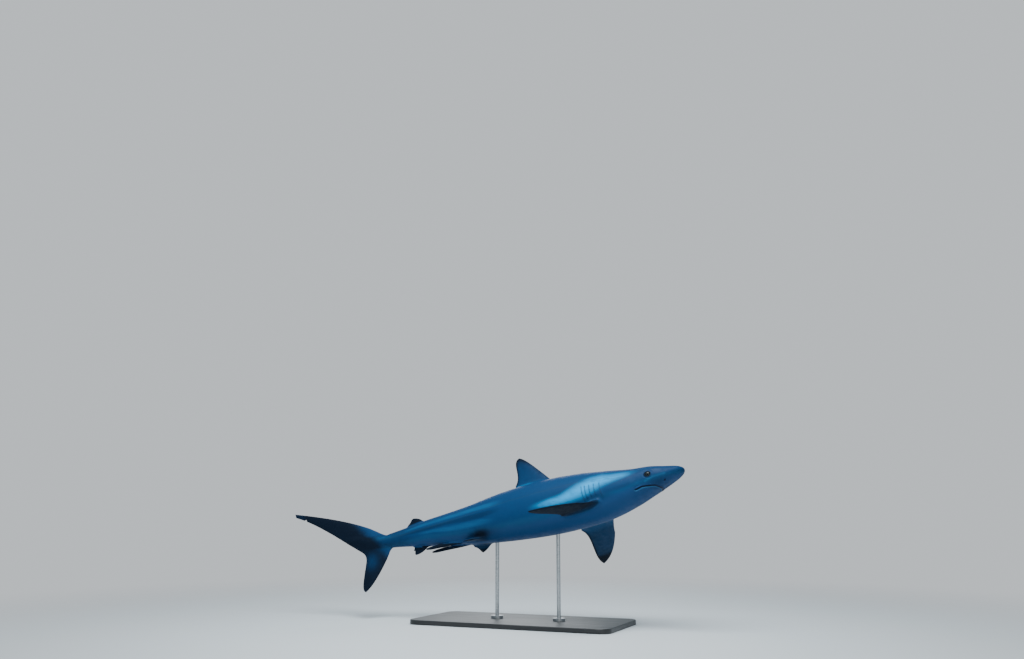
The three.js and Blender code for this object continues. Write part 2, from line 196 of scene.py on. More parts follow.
lamp("overhead", (0.3, -1.3, 3.2), (0.1, 0, 0.6), 2.2, 150, (0.90, 0.97, 1.0))
lamp("camera_side", (2.6, -3.4, 1.4), (0.1, 0, 0.5), 2.0, 24, (1.0, 0.98, 0.95))
lamp("far_side", (-1.6, 3.2, 2.0), (0, 0, 0.5), 2.0, 34, (0.95, 0.98, 1.0))

# %% [markdown]
# ## The animal's own frame
# The body is easiest to shape while it is straight and level: "s" runs back from the snout tip, "y" to the
# animal's left and "z" to its back, all in hundredths of the total length. Only when the skin is whole is it
# carried into the pose: the head and the tail swing to the animal's right, and it banks and noses up.
#
# The body is one smooth curve through sections of known height, depth and width.

# %% Body sections and pose
UNIT = 0.023  # one hundredth of the total length, in metres
STATIONS = np.array([0, 1, 4, 7.5, 12, 18, 25, 34, 44, 54, 65, 71.5, 75.5, 80, 83])
BACK = np.array([0.55, 1.45, 2.25, 3.1, 3.7, 4.85, 5.95, 6.5, 6.05, 4.65, 3.45, 2.4, 1.85, 1.75, 2.2])
BELLY = np.array([0.55, -0.5, -1.6, -2.75, -4.25, -5.6, -6.1, -6.05, -5.35, -4.2, -2.65, -1.75, -1.35, -0.65, 0.9])
HALF = np.array([0, 1.7, 2.95, 3.8, 4.35, 5.1, 5.6, 5.7, 5.1, 3.95, 2.6, 1.65, 1.25, 0.7, 0.3])
ABOVE = np.array([2, 2, 2, 2.1, 2.1, 2.1, 2.1, 2.1, 2.1, 2.1, 2.1, 2, 2, 2, 2])
BELOW = np.array([2, 2.1, 2.3, 2.3, 2.3, 2.3, 2.3, 2.3, 2.2, 2.2, 2.1, 2, 2, 2, 2])
MID_STATION, MID_HEIGHT = 40, 0.56
NOSE_UP, BANK_LEFT = math.radians(11.9), math.radians(16.3)
TURN = np.array(Matrix.Rotation(-NOSE_UP, 3, "Y") @ Matrix.Rotation(-BANK_LEFT, 3, "X"))


def along(values, s):
    """A smooth curve through the sections, over the square root of s, which rounds the snout."""
    knots, x = np.sqrt(STATIONS), np.sqrt(np.clip(s, 0, STATIONS[-1]))
    slopes = np.gradient(values, knots)
    slopes[1:-1] = (values[2:] - values[:-2]) / (knots[2:] - knots[:-2])
    i = np.clip(np.searchsorted(knots, x) - 1, 0, len(knots) - 2)
    span = knots[i + 1] - knots[i]
    t = (x - knots[i]) / span
    return (
        values[i] * (2 * t**3 - 3 * t**2 + 1)
        + slopes[i] * span * (t**3 - 2 * t**2 + t)
        + values[i + 1] * (3 * t**2 - 2 * t**3)
        + slopes[i + 1] * span * (t**3 - t**2)
    )


def section(s):
    """Half width, middle height, half height, and the squareness above and below the middle."""
    back, belly = along(BACK, s), along(BELLY, s)
    return along(HALF, s), (back + belly) / 2, (back - belly) / 2, along(ABOVE, s), along(BELOW, s)


def round_body(s, angle):
    """y and z on the bare body, at an angle counted from the back down the left side."""
    half, middle, tall, above, below = section(s)
    across, up = np.sin(angle), np.cos(angle)
    power = 2 / np.where(up > 0, above, below)
    y = half * np.sign(across) * np.abs(across) ** power
    return y, middle + tall * np.sign(up) * np.abs(up) ** power


def width_at(s, z):
    """Half width of the bare body at height z."""
    half, middle, tall, above, below = section(s)
    power, tall = np.where(z > middle, above, below), np.maximum(tall, 1e-6)
    return half * (1 - np.clip(np.abs(z - middle) / tall, 0, 1) ** power) ** (1 / power)


def outside(s, y, z):
    """Roughly how many millimetres a point lies outside the bare body, or inside it where negative."""
    half, middle, tall, above, below = section(s)
    half, tall = np.maximum(half, 0.05), np.maximum(tall, 0.05)
    power = np.where(z > middle, above, below)
    reach = (np.abs(y / half) ** power + np.abs((z - middle) / tall) ** power) ** (1 / power)
    return (reach - 1) * 1000 * UNIT * np.hypot(y, z - middle) / np.maximum(reach, 1e-6)


def outward(s, y, z):
    """The direction straight out of the bare body, in the straight animal."""
    gap = 0.02
    slope = [
        outside(s - gap, y, z) - outside(s + gap, y, z),
        outside(s, y + gap, z) - outside(s, y - gap, z),
        outside(s, y, z + gap) - outside(s, y, z - gap),
    ]
    slope = np.stack(slope, -1)
    return slope / np.maximum(np.linalg.norm(slope, axis=-1, keepdims=True), 1e-9)


def straight(s, y, z):
    """Metres in the straight animal, with its head along +X."""
    return np.stack([(MID_STATION - s) * UNIT, y * UNIT, z * UNIT], axis=-1)


def own_frame(points):
    return MID_STATION - points[:, 0] / UNIT, points[:, 1] / UNIT, points[:, 2] / UNIT


def posed(points):
    """From the straight animal to its place over the stand."""
    s = MID_STATION - points[:, 0] / UNIT
    swing = 2.4 * (np.maximum(35 - s, 0) / 35) ** 2 + 7.5 * (np.maximum(s - 40, 0) / 60) ** 2
    swung = points - np.stack([0 * s, swing * UNIT, 0 * s], axis=-1)
    return swung @ TURN.T + [0, 0, MID_HEIGHT]


print("girth at the first dorsal fin about", round(2 * math.pi * float(np.mean(section(34.0)[:1])) * 23), "mm")


# %% Helpers for shaping
def bump(x, width):
    return np.exp(-((x / width) ** 2))


def step(x, start, end):
    t = np.clip((x - start) / np.maximum(end - start, 1e-9), 0, 1)
    return t * t * (3 - 2 * t)


def points_of(piece):
    flat = np.empty(len(piece.data.vertices) * 3)
    piece.data.vertices.foreach_get("co", flat)
    return flat.reshape(-1, 3)


def move_points(piece, points):
    piece.data.vertices.foreach_set("co", np.asarray(points, float).ravel())
    piece.data.update()


def in_edit_mode(piece, *steps):
    """Selects the whole mesh of the piece and runs the given operators on it."""
    bpy.ops.object.select_all(action="DESELECT")
    piece.select_set(True)
    bpy.context.view_layer.objects.active = piece
    bpy.ops.object.mode_set(mode="EDIT")
    bpy.ops.mesh.select_all(action="SELECT")
    for do in steps:
        do()
    bpy.ops.object.mode_set(mode="OBJECT")


def volume(piece):
    """Litres inside a closed form. It comes out negative where the faces look inwards."""
    piece.data.calc_loop_triangles()
    corners = np.empty(len(piece.data.loop_triangles) * 3, int)
    piece.data.loop_triangles.foreach_get("vertices", corners)
    first, second, third = points_of(piece)[corners.reshape(-1, 3)].transpose(1, 0, 2)
    return float((first * np.cross(second, third)).sum() / 6 * 1000)


def rolled_sheet(name, across, lengthwise, shape, close_ends=False):
    """A flat grid rolled into a closed form: shape(u, v) gives each point, u round it and v along it."""
    bpy.ops.object.select_all(action="DESELECT")
    bpy.ops.mesh.primitive_grid_add(x_subdivisions=across, y_subdivisions=lengthwise, size=1)
    piece = bpy.context.object
    piece.name = name
    flat = points_of(piece)
    u = np.round((flat[:, 0] + 0.5) * across) / across
    v = np.round((flat[:, 1] + 0.5) * lengthwise) / lengthwise
    move_points(piece, shape(u, v))
    steps = [lambda: bpy.ops.mesh.remove_doubles(threshold=1e-5)]
    if close_ends:
        steps.append(lambda: bpy.ops.mesh.fill_holes(sides=0))
    steps.append(lambda: bpy.ops.mesh.normals_make_consistent(inside=False))
    in_edit_mode(piece, *steps)
    if volume(piece) < 0:
        in_edit_mode(piece, lambda: bpy.ops.mesh.flip_normals())
    return piece


def combine(piece, other, operation):
    """Joins the other form to the piece, or cuts it away, and uses it up."""
    bpy.ops.object.select_all(action="DESELECT")
    piece.select_set(True)
    bpy.context.view_layer.objects.active = piece
    joint = piece.modifiers.new("joint", "BOOLEAN")
    joint.operation, joint.object, joint.solver = operation, other, "MANIFOLD"
    bpy.ops.object.modifier_apply(modifier=joint.name)
    bpy.data.objects.remove(other)


def from_line(points, line, reach=0.06):
    """Distance in mm from each point to the nearest place on a line, up to the given reach in metres."""
    low, high = line.min(axis=0) - reach, line.max(axis=0) + reach
    near = np.all((points > low) & (points < high), axis=1)
    start, step_to = line[:-1], line[1:] - line[:-1]
    far = np.full(len(points), reach)
    for rows in np.array_split(np.flatnonzero(near), max(1, near.sum() // 4000)):
        if len(rows) == 0:
            continue
        off = points[rows, None] - start
        t = np.clip((off * step_to).sum(-1) / (step_to**2).sum(-1), 0, 1)
        far[rows] = np.sqrt(((off - t[..., None] * step_to) ** 2).sum(-1)).min(axis=1)
    return np.minimum(far, reach) * 1000


# %% [markdown]
# ## Lines on the head
# The mouth, the folds round it and the gill slits all follow lines drawn on the skin. Each line is drawn once
# here, and later it raises a lip, sinks a fold, guides a cutting blade and carries a colour.
#
# A requiem shark's mouth is slung under the snout. Seen from the side it is a straight line that drops a
# little at the corner, and seen from below it is a broad arch.

# %% Mouth, folds and gill slits as lines
MOUTH_FRONT, MOUTH_CORNER = 5.72, 10.8
EYE = {"s": 7.5, "z": 0.34, "along": 17.0, "up": 15.0, "deep": 9.5, "out": 3.2}  # half sizes and bulge in mm
GILL_SLITS = [18.4, 19.7, 20.8, 21.8, 22.6]
HANDS = {"left": 1, "right": -1}


def mouth_height(s):
    front = float(along(BELLY, np.array([MOUTH_FRONT]))[0])
    rise = step(s, MOUTH_FRONT, MOUTH_FRONT + 1.1)
    return front * (1 - rise) - 2.02 * rise - 0.38 * step(s, 9.0, MOUTH_CORNER + 0.2)


def drawn(hand, s, z):
    """A line on one side of the bare body, through the given stations and heights."""
    t, fine = np.linspace(0, 1, len(s)), np.linspace(0, 1, 60)
    s, z = np.interp(fine, t, s), np.interp(fine, t, z)
    return straight(s, hand * width_at(s, z), z)


round_the_jaw = np.linspace(-1, 1, 161)
jaw_s = MOUTH_FRONT + (MOUTH_CORNER - MOUTH_FRONT) * round_the_jaw**2
jaw_y = np.sign(round_the_jaw) * width_at(jaw_s, mouth_height(jaw_s))
mouth_line = straight(jaw_s, jaw_y, mouth_height(jaw_s))


def gill_station(s, t):
    """Station of a gill slit that sits at s, from its top at t = 0 to its foot at t = 1."""
    return s + 0.2 - 0.4 * t + 0.15 * np.sin(math.pi * t)


def gill_line(hand, s):
    t = np.linspace(0, 1, 40)
    at, z = gill_station(s, t), 0.8 - 3.1 * t
    return straight(at, hand * width_at(at, z), z)


gill_lines = [gill_line(hand, s) for hand in HANDS.values() for s in GILL_SLITS]
folds = [drawn(h, [3.9, 4.8, 6.3, 7.4, 8.3], [-0.1, -0.2, -0.35, -0.68, -1.0]) for h in HANDS.values()]
lip_folds = [drawn(h, [9.9, 10.5, 11.1, 11.3], [-1.72, -1.8, -2.15, -2.7]) for h in HANDS.values()]
flank_lines = [drawn(h, [12, 24, 40, 56, 70, 77], [1.6, 2.2, 2.0, 1.1, 0.55, 0.4]) for h in HANDS.values()]
print("mouth", round(float(jaw_y.max()) * 46), "mm wide and", len(gill_lines), "gill slits")

# %% [markdown]
# ## The bare body
# A flat grid is rolled into a tube, with one column of points per step round the body and one row per
# station. Rows lie 2 mm apart on the head, where the eye wants detail, and 8 mm apart on the trunk.
#
# The small forms are then raised and sunk along the surface: the lids and the brow over the eye, the lips,
# the folds of the face, the flap in front of each gill slit, the low ridge down the back between the two
# dorsal fins, the pits above and below the tail root, and the vent.

# %% Rows and columns of the body
plain_rows = np.arange(16.8, 23.55, 0.11)
beside_slits = np.array([at + side for at in GILL_SLITS for side in (-0.04, 0.04)])
clear_of_slits = np.abs(plain_rows[:, None] - beside_slits).min(axis=1) > 0.045
gill_rows = np.sort(np.concatenate([plain_rows[clear_of_slits], beside_slits]))
ROWS = np.concatenate([
    np.linspace(0, 1, 15)[:-1] ** 2,
    np.arange(1, 12.5, 0.09),
    np.arange(12.5, 16.8, 0.13),
    gill_rows,
    np.arange(23.6, 73, 0.42),
    np.arange(73, 77, 0.2),
    np.arange(77, 83, 0.4),
    [83.0, 83.01],
])
COLUMNS = 176


def small_forms(points):
    """How far each point of the bare body is raised, in mm."""
    s, y, z = own_frame(points)
    side = step(np.abs(y), 0.35 * along(HALF, s), 0.7 * along(HALF, s))
    from_eye = np.hypot((s - EYE["s"]) * 20, (z - EYE["z"]) * 24.5)
    raised = side * (0.9 * bump(from_eye - 14.5, 3.0) - 0.8 * bump(from_eye - 20.5, 2.6))
    raised += side * 2.0 * bump(s - 7.0, 2.4) * bump(z - 1.5, 0.5)
    raised -= side * 1.6 * bump(s - 4.4, 1.4) * bump(z - 0.75, 0.55)
    raised += side * 1.6 * bump(s - 11.6, 1.7) * bump(z + 0.9, 0.9)
    to_mouth = from_line(points, mouth_line)
    open_here = 1 - step(s, MOUTH_CORNER - 0.3, MOUTH_CORNER + 0.2)
    over = 0.5 + (step(z - mouth_height(s), -0.03, 0.03) - 0.5) * open_here
    upper_lip = 1.2 * bump(to_mouth - 6, 5)
    lower_lip = 0.5 * bump(to_mouth - 9, 5) - 1.6 * bump(to_mouth, 6)
    raised += over * upper_lip + (1 - over) * lower_lip
    for line in folds:
        raised -= 0.6 * bump(from_line(points, line), 3.4)
    for line in lip_folds:
        raised -= 1.3 * bump(from_line(points, line), 2.6)
    inside_gills = step(z, -3.2, -2.1) * (1 - step(z, 0.3, 1.3))
    for at in GILL_SLITS:
        behind = (s - gill_station(at, np.clip((0.8 - z) / 3.1, 0, 1))) * 23
        flap = np.where(behind < 0, 1.9 * np.exp(behind / 8), -1.7 * np.exp(-behind / 6))
        raised += inside_gills * flap
    raised += 2.2 * bump(y * 23, 4.5) * (z > 0) * step(s, 42, 44) * (1 - step(s, 63.5, 65))
    raised -= 4.0 * bump(s - 75.0, 0.42) * bump(y, 0.75) * np.where(z > 0.25, 1, 0.7)
    raised -= 3.0 * bump(y * 23, 4) * (z < 0) * bump(s - 55.6, 0.9)
    return raised


def body_shape(u, v):
    s = ROWS[np.round(v * (len(ROWS) - 1)).astype(int)]
    last = s > 83.005
    angle = 2 * math.pi * u + 0.1 * np.sin(4 * math.pi * u)
    z = round_body(s, angle)[1]
    among_gills = step(s, 16.8, 18) * (1 - step(s, 22.8, 23.6))
    s = s + among_gills * gill_station(0, np.clip((0.8 - z) / 3.1, 0, 1))
    y, z = round_body(s, angle)
    y *= 1 - 0.6 * step(s, 78.5, 82)
    y[last], z[last] = 0, section(s)[1][last]
    return straight(np.hypot(s, 0.0215), y, z)


def select_points(piece, chosen):
    bpy.ops.object.select_all(action="DESELECT")
    piece.select_set(True)
    bpy.context.view_layer.objects.active = piece
    bpy.ops.object.mode_set(mode="EDIT")
    bpy.ops.mesh.select_mode(type="VERT")
    bpy.ops.mesh.select_all(action="DESELECT")
    bpy.ops.object.mode_set(mode="OBJECT")
    piece.data.vertices.foreach_set("select", chosen)
    bpy.ops.object.mode_set(mode="EDIT")
    bpy.ops.mesh.select_mode(type="VERT")


skin = rolled_sheet("shark_skin", COLUMNS, len(ROWS) - 1, body_shape)
print("bare body:", len(skin.data.polygons), "faces")

# %% Finer faces at the mouth and the eyes, then the small forms
for near_mouth, near_eye in ((14, 24), (6, 0)):
    here = points_of(skin)
    s, y, z = own_frame(here)
    from_eye = np.hypot((s - EYE["s"]) * 23, (z - EYE["z"]) * 23) + 100 * (np.abs(y) < 2)
    select_points(skin, (from_line(here, mouth_line) < near_mouth) | (from_eye < near_eye))
    bpy.ops.mesh.subdivide(number_cuts=1)
    bpy.ops.object.mode_set(mode="OBJECT")
    print("refined to", len(skin.data.polygons), "faces")

here = points_of(skin)
s, y, z = own_frame(here)
fade = step(s, 0.4, 1.5) * (1 - step(s, 81, 82.5))
move_points(skin, here + outward(s, y, z) * (small_forms(here) * fade / 1000)[:, None])

# %% [markdown]
# ## Fins
# Each fin is a foil between a leading and a trailing edge: thickest a third of the way back, thin at the
# rear. It could be cut from a plate and sanded, but rolling a grid round the foil gives its taper at once.
# Close to the body the foil flares out, so that fin and flank meet in a soft hollow and not in a corner.
#
# All the fins are joined to the body, and the joints are then smoothed by strokes.


# %% Fin foils
def bezier(corners, t):
    a, b, c, d = (np.array(corner, float)[None] for corner in corners)
    t = t[:, None]
    return a * (1 - t) ** 3 + 3 * b * t * (1 - t) ** 2 + 3 * c * t**2 * (1 - t) + d * t**3


def upright(s, h, side):
    return s, side, h


def drooping(hand, root_y, root_z, droop, tilt=0.0, level=0.0):
    """The plane of a paired fin, which droops outwards. Tilt lifts its front, about the station "level"."""
    out, down = math.cos(math.radians(droop)), math.sin(math.radians(droop))
    slope = math.tan(math.radians(tilt))
    return lambda s, h, side: (
        s,
        hand * (root_y + h * out + side * down),
        root_z - h * down + side * out - (s - level) * slope,
    )


# Leading and trailing edge of each fin, as cubic curves from the root to the tip in the fin's own plane, and the
# front and rear of the section that is buried in the body.
EDGES = {
    "first_dorsal": (
        [(31.0, 6.0), (33.6, 8.0), (37.6, 13.4), (39.7, 14.0)],
        [(42.0, 6.6), (38.6, 8.6), (42.3, 13.2), (39.7, 14.0)],
        [(31.6, 5.0), (39.4, 5.2)],
    ),
    "second_dorsal": (
        [(64.8, 3.0), (66.2, 4.2), (67.2, 4.75), (68.4, 4.75)],
        [(71.0, 2.95), (68.6, 3.4), (69.4, 4.55), (68.4, 4.75)],
        [(65.0, 2.4), (69.0, 2.0)],
    ),
    "anal": (
        [(63.6, -2.3), (65.2, -3.4), (66.2, -4.35), (67.7, -4.4)],
        [(69.3, -3.4), (67.0, -2.9), (68.7, -4.2), (67.7, -4.4)],
        [(63.9, -2.0), (67.4, -1.5)],
    ),
    "upper_lobe": (
        [(74.8, 1.3), (81.5, 5.8), (90.6, 8.75), (100, 11.1)],
        [(81.0, -2.4), (87.0, 2.3), (94.6, 8.1), (99.6, 10.1)],
        [(75.6, -0.4), (79.8, -2.2)],
    ),
    "lower_lobe": (
        [(73.6, -0.6), (75.2, -4.0), (78.2, -9.8), (80.7, -11.35)],
        [(81.3, -0.6), (79.8, -4.6), (82.6, -10.5), (80.7, -11.35)],
        [(74.6, 0.9), (80.0, 1.0)],
    ),
    "pectoral": (
        [(18.7, 0), (21.3, 6.2), (24.3, 15.6), (29.0, 18.1)],
        [(28.6, 1.3), (25.6, 3.7), (30.7, 14.4), (29.0, 18.1)],
        [(19.5, -1.6), (26.2, -1.6)],
    ),
    "pelvic": (
        [(47.0, -0.3), (49.4, 0.8), (51.4, 3.0), (53.0, 3.65)],
        [(55.0, 0.9), (52.6, 1.2), (53.7, 3.2), (53.0, 3.65)],
        [(47.4, -1.2), (52.2, -1.0)],
    ),
}


BURIED = 0.08  # share of a fin's rows that lie between the buried section and the body's surface


def fin(name, thick, plane, around, spanwise, flare):
    """A foil with its thickness at the root and the tip, and its flare in mm. It thins out where it is buried."""
    leading, trailing, root = EDGES[name]
    front, rear = np.array(root)

    def shape(u, v):
        shown = np.clip((v - BURIED) / (1 - BURIED), 0, 1)
        reach = 0.995 * np.sin(math.pi / 2 * shown)
        chord = 0.5 - 0.5 * np.cos(math.pi * (1 - np.abs(1 - 2 * u)))
        flat = bezier(leading, reach) * (1 - chord)[:, None] + bezier(trailing, reach) * chord[:, None]
        sunk = np.clip(1 - v / BURIED, 0, 1)[:, None]
        flat = flat * (1 - sunk) + (front * (1 - chord)[:, None] + rear * chord[:, None]) * sunk
        foil = np.maximum(1.98 * np.sqrt(chord) - 1.26 * chord - 0.72 * chord**2, 0) / 1.02
        half = (thick[0] + (thick[1] - thick[0]) * reach) * np.sqrt(1 - reach**6) * foil / 2
        half += 0.05 * np.sqrt(chord * (1 - chord**24))
        side = np.where((u > 0) & (u < 0.5), 1, -1) * ((u > 0) & (u < 1) & (u != 0.5))
        clear = np.clip(outside(*plane(flat[:, 0], flat[:, 1], 0 * u)) / flare, 0, 1)
        swell = flare / 23 * (1 - np.sqrt(1 - (1 - clear) ** 2)) * np.sqrt(np.clip(4 * chord * (1 - chord), 0, 1))
        half = (half + swell) * (1 - 0.8 * sunk[:, 0])
        half = np.where(v == 1, 0, half)
        return straight(*plane(flat[:, 0], flat[:, 1], side * half))

    return rolled_sheet(name, around, spanwise, shape, close_ends=True)


def pectoral_plane(hand):
    return drooping(hand, 4.0, -4.0, 11.7, tilt=9, level=25)


def pectoral(hand):
    return fin("pectoral", (1.35, 0.4), pectoral_plane(hand), 44, 50, 14)


def pelvic(hand):
    return fin("pelvic", (0.7, 0.3), drooping(hand, 1.6, -3.9, 20), 30, 24, 9)


def clasper(hand):
    """A soft rod that trails from the pelvic fin, a little flattened, grooved inside and blunt at its tip."""
    stations = np.array([52.5, 55.0, 58.0, 61.0, 63.2, 64.3, 64.4])
    across = np.array([1.15, 1.15, 1.2, 1.28, 1.36, 1.41, 1.42])
    height = np.array([-3.65, -3.75, -3.75, -3.8, -3.92, -3.99, -4.0])
    radius = np.array([0.4, 0.44, 0.46, 0.43, 0.36, 0.16, 0.0])

    def shape(u, v):
        s = 52.5 + 11.9 * (1 - (1 - v) ** 1.5)
        r, angle = np.interp(s, stations, radius), 2 * math.pi * u
        groove = 1 - 0.18 * bump(angle - math.pi * 1.5, 0.45) * step(s, 55, 57)
        y = hand * (np.interp(s, stations, across) + 0.9 * r * groove * np.sin(angle))
        return straight(s, y, np.interp(s, stations, height) + r * groove * np.cos(angle))

    return rolled_sheet("clasper", 22, 44, shape, close_ends=True)


first_dorsal = fin("first_dorsal", (1.7, 0.5), upright, 44, 44, 16)
second_dorsal = fin("second_dorsal", (0.6, 0.3), upright, 30, 22, 7)
anal = fin("anal", (0.6, 0.3), upright, 30, 22, 7)
upper_lobe = fin("upper_lobe", (1.7, 0.3), upright, 46, 64, 9)
lower_lobe = fin("lower_lobe", (1.5, 0.4), upright, 40, 44, 9)
print("upper tail lobe:", len(upper_lobe.data.polygons), "faces")

# %% Notch near the tip of the tail
notch_corners = np.array([(96.8, 9.35), (97.9, 8.7), (96.4, 7.6)])


def notch_shape(u, v):
    turn = np.round(u * 3).astype(int) % 3
    return straight(notch_corners[turn, 0], 4 * v - 2, notch_corners[turn, 1])


combine(upper_lobe, rolled_sheet("notch", 3, 1, notch_shape, close_ends=True), "DIFFERENCE")

# %% Join the fins to the body
fins = [first_dorsal, second_dorsal, anal, upper_lobe, lower_lobe]
fins += [make(hand) for hand in HANDS.values() for make in (pectoral, clasper, pelvic)]
for number, part in enumerate([skin] + fins):
    layer = part.data.attributes.new("part", "FLOAT", "POINT")
    layer.data.foreach_set("value", np.full(len(part.data.vertices), number, np.float32))
for part in fins:
    combine(skin, part, "UNION")
print("joined", len(fins), "forms, now", len(skin.data.polygons), "faces")


# %% Smooth the joints
def joint_points(rings):
    """The points on the joints between parts, and those up to so many edges away."""
    ends = np.empty(len(skin.data.edges) * 2, int)
    skin.data.edges.foreach_get("vertices", ends)
    ends = ends.reshape(-1, 2)
    part = np.empty(len(skin.data.vertices))
    skin.data.attributes["part"].data.foreach_get("value", part)
    chosen = np.zeros(len(part), bool)
    chosen[ends[np.ptp(part[ends], axis=1) > 0.01].ravel()] = True
    for _ in range(rings):
        chosen[ends[chosen[ends].any(axis=1)].ravel()] = True
    return chosen


select_points(skin, joint_points(1))
bpy.ops.mesh.dissolve_degenerate(threshold=0.0018)
bpy.ops.object.mode_set(mode="OBJECT")
for rings, strokes, first, last in ((4, 6, 0, 100), (2, 12, 0, 100), (8, 36, 17, 22), (6, 8, 76, 100)):
    s = own_frame(points_of(skin))[0]
    chosen = joint_points(rings) & (s > first) & (s < last)
    select_points(skin, chosen)
    bpy.ops.mesh.vertices_smooth(factor=0.5, repeat=strokes)
    bpy.ops.object.mode_set(mode="OBJECT")
    print("smoothed", int(chosen.sum()), "points")

# %% [markdown]
# ## Mouth, gill slits, nostrils and eye sockets
# These are cut, not painted, because a real opening keeps its shadow from every side. A thin blade follows each
# line on the skin. The mouth's blade goes in level, which leaves the lower lip as a thin edge under the upper
# one. The gill blades go in and forwards, under the flap that closes each slit.


# %% Cutting blades
def blade(line, inwards, thickness, half, out, deep):
    """A tapering blade along a line: half is half its thickness in mm, out and deep its reach in mm."""

    def shape(u, v):
        at = np.round(v * (len(line) - 1)).astype(int)
        corner = np.round(u * 4).astype(int) % 4
        reach = np.choose(corner, [-out, deep, deep, -out]) / 1000
        wide = np.choose(corner, [1, 0.3, -0.3, -1]) * half[at] / 1000
        return line[at] + inwards[at] * reach[:, None] + thickness[at] * wide[:, None]

    return rolled_sheet("blade", 4, len(line) - 1, shape, close_ends=True)


forwards = np.gradient(mouth_line, axis=0) * [1, 1, 0]
level = np.cross(forwards, [0, 0, 1])
level /= np.linalg.norm(level, axis=1, keepdims=True)
level *= np.sign(level[80, 0]) * -1
upwards = np.tile([0.0, 0.0, 1.0], (len(mouth_line), 1))
narrowing = 0.35 + 2.0 * (1 - np.abs(round_the_jaw) ** 2.5)
combine(skin, blade(mouth_line, level, upwards, narrowing, 6, 13), "DIFFERENCE")

for line in gill_lines:
    out = outward(*own_frame(line))
    inwards = -out + [0.55, 0, 0]
    lengthwise = np.tile([1.0, 0.0, 0.0], (len(line), 1))
    thin = 0.15 + 0.85 * np.sin(math.pi * np.linspace(0, 1, len(line))) ** 0.5
    combine(skin, blade(line, inwards, lengthwise, thin, 4, 7), "DIFFERENCE")
print("cut", 1 + len(gill_lines), "openings, now", len(skin.data.polygons), "faces")


# %% Balls for sockets, nostrils and eyes
def ball(name, centre, along_body, across, up, turn=0.0, segments=40):
    """A ball with the given half sizes in mm, turned about the upright, with its poles at the sides."""
    bpy.ops.object.select_all(action="DESELECT")
    bpy.ops.mesh.primitive_uv_sphere_add(segments=segments, ring_count=segments // 2, radius=1)
    made = bpy.context.object
    made.name = name
    flat = points_of(made)[:, [0, 2, 1]] * np.array([1, -1, 1]) * np.array([along_body, across, up]) / 1000
    turning = np.array(Matrix.Rotation(turn, 3, "Z"))
    move_points(made, flat @ turning.T + centre)
    return made


def eye_place(hand):
    """Centre of the eye and its turn about the upright: it lies flat in the side of the narrowing head."""
    at = np.array([EYE["s"]])
    turn = hand * math.atan(along(HALF, at - 0.5)[0] - along(HALF, at + 0.5)[0])
    surface = straight(at, hand * along(HALF, at), np.array([EYE["z"]]))[0]
    sunk = hand * (EYE["deep"] - EYE["out"]) / 1000
    return surface - sunk * np.array([-math.sin(turn), math.cos(turn), 0]), turn


for hand in HANDS.values():
    size = [EYE[name] + 0.35 for name in ("along", "deep", "up")]
    centre, turn = eye_place(hand)
    combine(skin, ball("socket", centre, *size, turn), "DIFFERENCE")
    nostril = straight(np.array([4.2]), np.array([hand * 2.05]), np.array([-1.32]))[0]
    combine(skin, ball("nostril", nostril, 10, 4, 5, hand * math.radians(52)), "DIFFERENCE")
    flap = nostril + np.array([0.0024, -hand * 0.0036, 0.0036])
    combine(skin, ball("nose_flap", flap, 5.5, 3.0, 2.6, hand * math.radians(52)), "UNION")
print("head cut, now", len(skin.data.polygons), "faces")

# %% [markdown]
# ## Where each colour lies
# A silky shark is dark above and pale below, and the border between the two is soft. A painter would mask it
# with card and an airbrush. Here each mask is a number stored on every point of the skin: how far a point
# belongs to the back, to the pale streaks on the flank, to the dark fin tips, or to the inside of a cut. Some
# masks hold painted light: painted highlights on the shoulder, the tail stalk and the folds of the face, and
# painted shade under the lip, round the eye, on the flank beside the fins and under fins and claspers.
# The masks follow the straight animal, so they are made before it is posed.

# %% Masks on the skin
here = points_of(skin)
s, y, z = own_frame(here)
normals = np.empty(len(here) * 3)
skin.data.vertices.foreach_get("normal", normals)
normals = normals.reshape(-1, 3)
clear = outside(s, y, z)
off_body = step(clear, 5, 14) * (s > 17) + (s > 82) * (1 - step(clear, 5, 14))
off_body = np.clip(off_body, 0, 1)


def edge(corners, plane):
    flat = bezier(corners, np.linspace(0, 1, 60))
    return straight(*plane(flat[:, 0], flat[:, 1], 0 * flat[:, 0]))


def band(stations, heights, widths, core=0.25):
    """A soft band along the flank: 1 on its middle line, as far as its core, and 0 at its edges."""
    middle, wide = np.interp(s, stations, heights), np.interp(s, stations, widths)
    ends = step(s, stations[0], stations[0] + 5) * (1 - step(s, stations[-1] - 7, stations[-1]))
    return ends * (1 - step(np.abs(z - middle) / wide, core, 1)) * (np.abs(y) > 0.4)


def patch(at, height, length, depth):
    return bump(s - at, length) * bump(z - height, depth) * (np.abs(y) > 0.3)


border = np.interp(s, [0, 5, 8, 12, 18, 24, 34, 44, 54, 64, 75, 83],
                   [-0.1, -0.6, -1.0, -1.5, -2.3, -3.1, -3.5, -3.1, -2.3, -1.3, -1.4, -1.6])
soft = np.interp(s, [0, 10, 30, 60, 83], [0.5, 0.9, 1.6, 1.1, 0.7])
back = step(z, border - soft, border + soft)
paired = off_body * (np.abs(y) > 1.5) * (s < 60)
single = off_body * (1 - paired)
back = back * (1 - paired) + paired * (0.35 + 0.65 * step(normals[:, 2], -0.25, 0.35))
back = back * (1 - single) + single * 0.95
